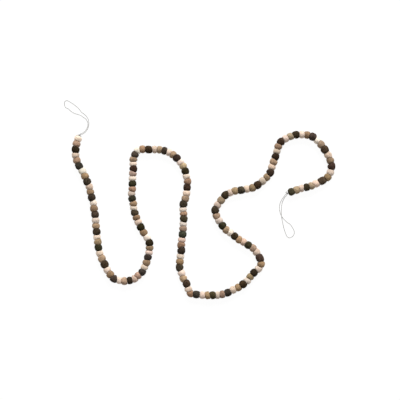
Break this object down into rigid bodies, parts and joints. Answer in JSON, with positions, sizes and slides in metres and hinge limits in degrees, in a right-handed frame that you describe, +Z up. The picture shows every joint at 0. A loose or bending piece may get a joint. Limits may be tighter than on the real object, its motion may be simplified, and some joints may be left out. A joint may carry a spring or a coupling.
{
  "type": "felt ball garland",
  "caption": "Garland of small wool felt balls in cream, tan and charcoal on a white cotton string with a knotted hanging loop at each end, laid flat in loose waves.",
  "frame": {"origin": "on the surface that the garland lies on, under the middle of the box of its balls", "axes": "+X to the right along the long side of the laid-out garland, +Y away towards its upper end, +Z up"},
  "size_m": [0.5163, 0.3786, 0.0143],
  "materials": {
    "felt_cream": "matt wool felt",
    "felt_tan": "matt wool felt",
    "felt_charcoal": "matt wool felt",
    "string": "twisted cotton string"
  },
  "bodies": {
    "root": {"ball_trio_01": "felt_tan", "ball_trio_02": "felt_tan", "ball_trio_03": "felt_tan", "ball_trio_04": "felt_tan", "ball_trio_05": "felt_tan", "ball_trio_06": "felt_tan", "ball_trio_07": "felt_tan", "ball_trio_08": "felt_tan", "ball_trio_09": "felt_tan", "ball_trio_10": "felt_tan", "ball_trio_11": "felt_tan", "ball_trio_12": "felt_tan", "ball_trio_13": "felt_tan", "ball_trio_14": "felt_tan", "ball_trio_15": "felt_tan", "ball_trio_16": "felt_tan", "ball_trio_17": "felt_tan", "ball_trio_18": "felt_tan", "ball_trio_19": "felt_tan", "ball_trio_20": "felt_tan", "ball_trio_21": "felt_tan", "ball_trio_22": "felt_tan", "ball_trio_23": "felt_tan", "ball_trio_24": "felt_tan", "ball_trio_25": "felt_tan", "ball_trio_26": "felt_tan", "ball_trio_27": "felt_tan", "ball_trio_28": "felt_tan", "ball_trio_29": "felt_tan", "ball_trio_30": "felt_tan", "ball_trio_31": "felt_tan", "ball_trio_32": "felt_tan", "ball_trio_33": "felt_tan", "ball_trio_34": "felt_tan", "ball_trio_35": "felt_tan", "ball_trio_36": "felt_tan", "ball_trio_37": "felt_tan", "ball_trio_38": "felt_tan", "ball_trio_39": "felt_tan", "ball_trio_40": "felt_tan", "ball_trio_41": "felt_tan", "ball_trio_42": "felt_tan", "ball_trio_43": "felt_tan", "ball_trio_44": "felt_tan", "ball_trio_45": "felt_tan", "ball_trio_46": "felt_tan", "ball_trio_47": "felt_tan", "ball_trio_48": "felt_tan", "ball_trio_49": "felt_tan", "ball_trio_50": "felt_tan", "ball_trio_51": "felt_tan", "ball_trio_52": "felt_tan", "ball_trio_53": "felt_tan", "string_loop_start": "string", "string_loop_end": "string", "knot_start": "string", "knot_end": "string"}
  },
  "joints": []
}
